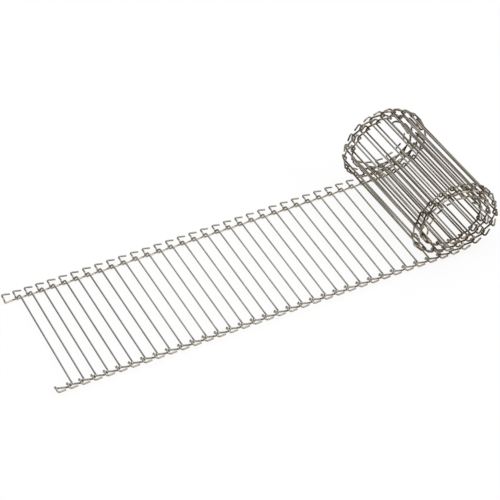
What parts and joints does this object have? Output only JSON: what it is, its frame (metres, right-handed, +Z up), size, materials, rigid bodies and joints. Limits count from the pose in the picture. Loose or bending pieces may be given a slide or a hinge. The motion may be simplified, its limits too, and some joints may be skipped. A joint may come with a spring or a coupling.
{
  "type": "wire conveyor belt",
  "caption": "Flat wire conveyor belt of bent round-wire strands that hook into each other at both edges, laid partly flat and partly rolled up.",
  "frame": {"origin": "middle of the belt's outline, on the surface that it lies on", "axes": "+X along the belt from its free end to the roll, +Y across the belt, +Z up"},
  "size_m": [0.4724, 0.149, 0.0868],
  "materials": {
    "stainless_wire": "plain drawn stainless wire, slightly dulled"
  },
  "bodies": {
    "flat_strand_01": {"flat_strand_01": "stainless_wire"},
    "flat_strand_02": {"flat_strand_02": "stainless_wire"},
    "flat_strand_03": {"flat_strand_03": "stainless_wire"},
    "flat_strand_04": {"flat_strand_04": "stainless_wire"},
    "flat_strand_05": {"flat_strand_05": "stainless_wire"},
    "flat_strand_06": {"flat_strand_06": "stainless_wire"},
    "flat_strand_07": {"flat_strand_07": "stainless_wire"},
    "flat_strand_08": {"flat_strand_08": "stainless_wire"},
    "flat_strand_09": {"flat_strand_09": "stainless_wire"},
    "flat_strand_10": {"flat_strand_10": "stainless_wire"},
    "flat_strand_11": {"flat_strand_11": "stainless_wire"},
    "flat_strand_12": {"flat_strand_12": "stainless_wire"},
    "flat_strand_13": {"flat_strand_13": "stainless_wire"},
    "flat_strand_14": {"flat_strand_14": "stainless_wire"},
    "flat_strand_15": {"flat_strand_15": "stainless_wire"},
    "flat_strand_16": {"flat_strand_16": "stainless_wire"},
    "flat_strand_17": {"flat_strand_17": "stainless_wire"},
    "flat_strand_18": {"flat_strand_18": "stainless_wire"},
    "flat_strand_19": {"flat_strand_19": "stainless_wire"},
    "flat_strand_20": {"flat_strand_20": "stainless_wire"},
    "flat_strand_21": {"flat_strand_21": "stainless_wire"},
    "flat_strand_22": {"flat_strand_22": "stainless_wire"},
    "flat_strand_23": {"flat_strand_23": "stainless_wire"},
    "flat_strand_24": {"flat_strand_24": "stainless_wire"},
    "flat_strand_25": {"flat_strand_25": "stainless_wire"},
    "flat_strand_26": {"flat_strand_26": "stainless_wire"},
    "flat_strand_27": {"flat_strand_27": "stainless_wire"},
    "flat_strand_28": {"flat_strand_28": "stainless_wire"},
    "flat_strand_29": {"flat_strand_29": "stainless_wire"},
    "flat_strand_30": {"flat_strand_30": "stainless_wire"},
    "flat_strand_31": {"flat_strand_31": "stainless_wire"},
    "outer_turn_strand_01": {"outer_turn_strand_01": "stainless_wire"},
    "outer_turn_strand_02": {"outer_turn_strand_02": "stainless_wire"},
    "outer_turn_strand_03": {"outer_turn_strand_03": "stainless_wire"},
    "outer_turn_strand_04": {"outer_turn_strand_04": "stainless_wire"},
    "outer_turn_strand_05": {"outer_turn_strand_05": "stainless_wire"},
    "outer_turn_strand_06": {"outer_turn_strand_06": "stainless_wire"},
    "outer_turn_strand_07": {"outer_turn_strand_07": "stainless_wire"},
    "outer_turn_strand_08": {"outer_turn_strand_08": "stainless_wire"},
    "outer_turn_strand_09": {"outer_turn_strand_09": "stainless_wire"},
    "outer_turn_strand_10": {"outer_turn_strand_10": "stainless_wire"},
    "outer_turn_strand_11": {"outer_turn_strand_11": "stainless_wire"},
    "outer_turn_strand_12": {"outer_turn_strand_12": "stainless_wire"},
    "outer_turn_strand_13": {"outer_turn_strand_13": "stainless_wire"},
    "roll": {"outer_turn_strand_14": "stainless_wire", "outer_turn_strand_15": "stainless_wire", "outer_turn_strand_16": "stainless_wire", "outer_turn_strand_17": "stainless_wire", "outer_turn_strand_18": "stainless_wire", "outer_turn_strand_19": "stainless_wire", "outer_turn_strand_20": "stainless_wire", "outer_turn_strand_21": "stainless_wire", "outer_turn_strand_22": "stainless_wire", "second_turn_quarter_1": "stainless_wire", "second_turn_quarter_2": "stainless_wire", "second_turn_quarter_3": "stainless_wire", "second_turn_quarter_4": "stainless_wire", "core_turn_quarter_1": "stainless_wire", "core_turn_quarter_2": "stainless_wire"}
  },
  "joints": [
    {"name": "hinge_01", "type": "hinge", "parent": "flat_strand_02", "child": "flat_strand_01", "pos_m": [-0.21757, 0.00041, 0.004], "axis": [0.0175, 0.9998, 0], "range_deg": [-23, 23]},
    {"name": "hinge_02", "type": "hinge", "parent": "flat_strand_03", "child": "flat_strand_02", "pos_m": [-0.20587, 0.00022, 0.004], "axis": [0.0145, 0.9999, 0], "range_deg": [-22.7, 22.7]},
    {"name": "hinge_03", "type": "hinge", "parent": "flat_strand_04", "child": "flat_strand_03", "pos_m": [-0.19401, 0.00007, 0.004], "axis": [0.0116, 0.9999, 0], "range_deg": [-22.4, 22.4]},
    {"name": "hinge_04", "type": "hinge", "parent": "flat_strand_05", "child": "flat_strand_04", "pos_m": [-0.18197, -0.00006, 0.004], "axis": [0.0087, 1, 0], "range_deg": [-22.1, 22.1]},
    {"name": "hinge_05", "type": "hinge", "parent": "flat_strand_06", "child": "flat_strand_05", "pos_m": [-0.16977, -0.00014, 0.004], "axis": [0.0058, 1, 0], "range_deg": [-21.8, 21.8]},
    {"name": "hinge_06", "type": "hinge", "parent": "flat_strand_07", "child": "flat_strand_06", "pos_m": [-0.15741, -0.0002, 0.004], "axis": [0.0029, 1, 0], "range_deg": [-21.5, 21.5]},
    {"name": "hinge_07", "type": "hinge", "parent": "flat_strand_08", "child": "flat_strand_07", "pos_m": [-0.14487, -0.00022, 0.004], "axis": [0, 1, 0], "range_deg": [-21.2, 21.2]},
    {"name": "hinge_08", "type": "hinge", "parent": "flat_strand_09", "child": "flat_strand_08", "pos_m": [-0.13217, -0.00022, 0.004], "axis": [0, 1, 0], "range_deg": [-20.9, 20.9]},
    {"name": "hinge_09", "type": "hinge", "parent": "flat_strand_10", "child": "flat_strand_09", "pos_m": [-0.11947, -0.00022, 0.004], "axis": [0, 1, 0], "range_deg": [-20.6, 20.6]},
    {"name": "hinge_10", "type": "hinge", "parent": "flat_strand_11", "child": "flat_strand_10", "pos_m": [-0.10677, -0.00022, 0.004], "axis": [0, 1, 0], "range_deg": [-20.3, 20.3]},
    {"name": "hinge_11", "type": "hinge", "parent": "flat_strand_12", "child": "flat_strand_11", "pos_m": [-0.09407, -0.00022, 0.004], "axis": [0, 1, 0], "range_deg": [-20, 20]},
    {"name": "hinge_12", "type": "hinge", "parent": "flat_strand_13", "child": "flat_strand_12", "pos_m": [-0.08137, -0.00022, 0.004], "axis": [0, 1, 0], "range_deg": [-19.7, 19.7]},
    {"name": "hinge_13", "type": "hinge", "parent": "flat_strand_14", "child": "flat_strand_13", "pos_m": [-0.06867, -0.00022, 0.004], "axis": [0, 1, 0], "range_deg": [-19.4, 19.4]},
    {"name": "hinge_14", "type": "hinge", "parent": "flat_strand_15", "child": "flat_strand_14", "pos_m": [-0.05597, -0.00022, 0.004], "axis": [0, 1, 0], "range_deg": [-19.1, 19.1]},
    {"name": "hinge_15", "type": "hinge", "parent": "flat_strand_16", "child": "flat_strand_15", "pos_m": [-0.04327, -0.00022, 0.004], "axis": [0, 1, 0], "range_deg": [-18.8, 18.8]},
    {"name": "hinge_16", "type": "hinge", "parent": "flat_strand_17", "child": "flat_strand_16", "pos_m": [-0.03057, -0.00022, 0.004], "axis": [0, 1, 0], "range_deg": [-18.5, 18.5]},
    {"name": "hinge_17", "type": "hinge", "parent": "flat_strand_18", "child": "flat_strand_17", "pos_m": [-0.01787, -0.00022, 0.004], "axis": [0, 1, 0], "range_deg": [-18.2, 18.2]},
    {"name": "hinge_18", "type": "hinge", "parent": "flat_strand_19", "child": "flat_strand_18", "pos_m": [-0.00517, -0.00022, 0.004], "axis": [0, 1, 0], "range_deg": [-17.9, 17.9]},
    {"name": "hinge_19", "type": "hinge", "parent": "flat_strand_20", "child": "flat_strand_19", "pos_m": [0.00753, -0.00022, 0.004], "axis": [0, 1, 0], "range_deg": [-17.6, 17.6]},
    {"name": "hinge_20", "type": "hinge", "parent": "flat_strand_21", "child": "flat_strand_20", "pos_m": [0.02023, -0.00022, 0.004], "axis": [0, 1, 0], "range_deg": [-17.3, 17.3]},
    {"name": "hinge_21", "type": "hinge", "parent": "flat_strand_22", "child": "flat_strand_21", "pos_m": [0.03293, -0.00022, 0.004], "axis": [0, 1, 0], "range_deg": [-17, 17]},
    {"name": "hinge_22", "type": "hinge", "parent": "flat_strand_23", "child": "flat_strand_22", "pos_m": [0.04563, -0.00022, 0.004], "axis": [0, 1, 0], "range_deg": [-6, 6]},
    {"name": "hinge_23", "type": "hinge", "parent": "flat_strand_24", "child": "flat_strand_23", "pos_m": [0.05833, -0.00022, 0.004], "axis": [0, 1, 0], "range_deg": [-6, 6]},
    {"name": "hinge_24", "type": "hinge", "parent": "flat_strand_25", "child": "flat_strand_24", "pos_m": [0.07103, -0.00022, 0.004], "axis": [0, 1, 0], "range_deg": [-6, 6]},
    {"name": "hinge_25", "type": "hinge", "parent": "flat_strand_26", "child": "flat_strand_25", "pos_m": [0.08373, -0.00022, 0.004], "axis": [0, 1, 0], "range_deg": [-6, 6]},
    {"name": "hinge_26", "type": "hinge", "parent": "flat_strand_27", "child": "flat_strand_26", "pos_m": [0.09643, -0.00022, 0.004], "axis": [0, 1, 0], "range_deg": [-6, 6]},
    {"name": "hinge_27", "type": "hinge", "parent": "flat_strand_28", "child": "flat_strand_27", "pos_m": [0.10913, -0.00022, 0.004], "axis": [0, 1, 0], "range_deg": [-6, 6]},
    {"name": "hinge_28", "type": "hinge", "parent": "flat_strand_29", "child": "flat_strand_28", "pos_m": [0.12183, -0.00022, 0.004], "axis": [0, 1, 0], "range_deg": [-6, 6]},
    {"name": "hinge_29", "type": "hinge", "parent": "flat_strand_30", "child": "flat_strand_29", "pos_m": [0.13453, -0.00022, 0.004], "axis": [0, 1, 0], "range_deg": [-6, 6]},
    {"name": "hinge_30", "type": "hinge", "parent": "flat_strand_31", "child": "flat_strand_30", "pos_m": [0.14723, -0.00018, 0.004], "axis": [-0.005, 1, 0], "range_deg": [-6, 6]},
    {"name": "hinge_31", "type": "hinge", "parent": "outer_turn_strand_01", "child": "flat_strand_31", "pos_m": [0.15993, -0.00009, 0.004], "axis": [-0.01, 1, 0], "range_deg": [-6, 6]},
    {"name": "hinge_32", "type": "hinge", "parent": "outer_turn_strand_02", "child": "outer_turn_strand_01", "pos_m": [0.17262, 0.00007, 0.004], "axis": [-0.015, 0.9999, 0], "range_deg": [-6, 0]},
    {"name": "hinge_33", "type": "hinge", "parent": "outer_turn_strand_03", "child": "outer_turn_strand_02", "pos_m": [0.18532, 0.00029, 0.00401], "axis": [-0.0199, 0.9998, 0], "range_deg": [-6.4, 0]},
    {"name": "hinge_34", "type": "hinge", "parent": "outer_turn_strand_04", "child": "outer_turn_strand_03", "pos_m": [0.19794, 0.00057, 0.00544], "axis": [-0.0249, 0.9997, 0], "range_deg": [-10.5, 0]},
    {"name": "hinge_35", "type": "hinge", "parent": "outer_turn_strand_05", "child": "outer_turn_strand_04", "pos_m": [0.21008, 0.00091, 0.00916], "axis": [-0.0299, 0.9996, 0], "range_deg": [-13.8, 0]},
    {"name": "hinge_36", "type": "hinge", "parent": "outer_turn_strand_06", "child": "outer_turn_strand_05", "pos_m": [0.22098, 0.00126, 0.01566], "axis": [-0.0349, 0.9994, 0], "range_deg": [-20.8, 0]},
    {"name": "hinge_37", "type": "hinge", "parent": "outer_turn_strand_07", "child": "outer_turn_strand_06", "pos_m": [0.22888, 0.00154, 0.0256], "axis": [-0.0349, 0.9994, 0], "range_deg": [-31.1, 0]},
    {"name": "hinge_38", "type": "hinge", "parent": "outer_turn_strand_08", "child": "outer_turn_strand_07", "pos_m": [0.23051, 0.00159, 0.0382], "axis": [-0.0349, 0.9994, 0], "range_deg": [-21, 0]},
    {"name": "hinge_39", "type": "hinge", "parent": "outer_turn_strand_09", "child": "outer_turn_strand_08", "pos_m": [0.22752, 0.00149, 0.05054], "axis": [-0.0349, 0.9994, 0], "range_deg": [-13.9, 0]},
    {"name": "hinge_40", "type": "hinge", "parent": "outer_turn_strand_10", "child": "outer_turn_strand_09", "pos_m": [0.22166, 0.00128, 0.0618], "axis": [-0.0349, 0.9994, 0], "range_deg": [-14.1, 0]},
    {"name": "hinge_41", "type": "hinge", "parent": "outer_turn_strand_11", "child": "outer_turn_strand_10", "pos_m": [0.21323, 0.00099, 0.0713], "axis": [-0.0349, 0.9994, 0], "range_deg": [-14.5, 0]},
    {"name": "hinge_42", "type": "hinge", "parent": "outer_turn_strand_12", "child": "outer_turn_strand_11", "pos_m": [0.20269, 0.00062, 0.07837], "axis": [-0.0349, 0.9994, 0], "range_deg": [-15.1, 0]},
    {"name": "hinge_43", "type": "hinge", "parent": "outer_turn_strand_13", "child": "outer_turn_strand_12", "pos_m": [0.19067, 0.0002, 0.08244], "axis": [-0.0349, 0.9994, 0], "range_deg": [-15.8, 0]},
    {"name": "hinge_44", "type": "hinge", "parent": "roll", "child": "outer_turn_strand_13", "pos_m": [0.17799, -0.00024, 0.08309], "axis": [-0.0349, 0.9994, 0], "range_deg": [-16.4, 0]}
  ]
}
